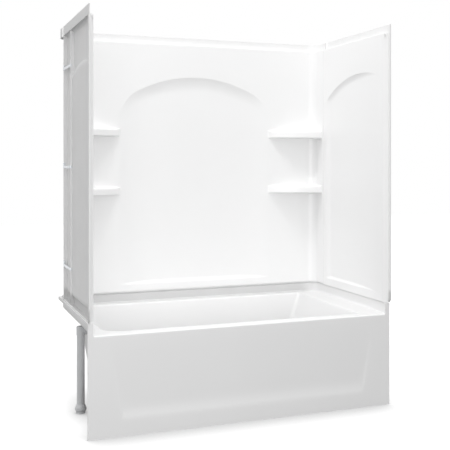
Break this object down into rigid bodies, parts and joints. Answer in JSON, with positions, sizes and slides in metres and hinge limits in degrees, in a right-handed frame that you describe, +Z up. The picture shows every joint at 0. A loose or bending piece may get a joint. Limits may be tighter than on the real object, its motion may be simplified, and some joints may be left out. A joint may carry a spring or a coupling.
{
  "type": "bath and shower stall",
  "caption": "Alcove bath with a moulded apron and a wall surround with arched fields and corner shelves, with drain, lift stopper and overflow pipe, for bathing and showering.",
  "frame": {"origin": "on the floor, under the middle of the unit's bounding box", "axes": "+X to the right seen from the apron side, +Y from the apron to the back wall, +Z up"},
  "size_m": [1.524, 0.816, 1.91],
  "materials": {
    "composite": "gloss moulded white",
    "seal_rubber": "soft matt",
    "clip_steel": "zinc plated",
    "bearer_wood": "sawn softwood",
    "polished_chrome": "polished",
    "plain_brass": "turned",
    "vulcanised_fibre": "matt",
    "waste_pvc": "satin moulded"
  },
  "bodies": {
    "unit": {"bath": "composite", "back_wall": "composite", "left_end_wall": "composite", "right_end_wall": "composite", "back_wall_seal": "seal_rubber", "left_wall_seal": "seal_rubber", "right_wall_seal": "seal_rubber", "left_corner_seal": "seal_rubber", "right_corner_seal": "seal_rubber", "drain_gasket": "seal_rubber", "drain_tail_washer": "seal_rubber", "overflow_gasket": "seal_rubber", "overflow_slip_washer": "seal_rubber", "left_corner_clips": "clip_steel", "right_corner_clips": "clip_steel", "left_bearer": "bearer_wood", "middle_bearer": "bearer_wood", "right_bearer": "bearer_wood", "drain_flange": "polished_chrome", "overflow_cover": "polished_chrome", "overflow_screws": "polished_chrome", "drain_lock_nut": "plain_brass", "stopper_post": "plain_brass", "drain_fibre_ring": "vulcanised_fibre", "drain_tailpiece": "waste_pvc", "drain_tail_nut": "waste_pvc", "overflow_elbow": "waste_pvc", "overflow_tube": "waste_pvc", "overflow_slip_nut": "waste_pvc", "floor_coupling": "waste_pvc"},
    "stopper": {"stopper_cap": "polished_chrome", "stopper_seal": "seal_rubber", "stopper_sleeve": "plain_brass"}
  },
  "joints": [
    {"name": "stopper_lift", "type": "slide", "parent": "unit", "child": "stopper", "axis": [0, 0, 1], "range_m": [0, 0.01]}
  ]
}
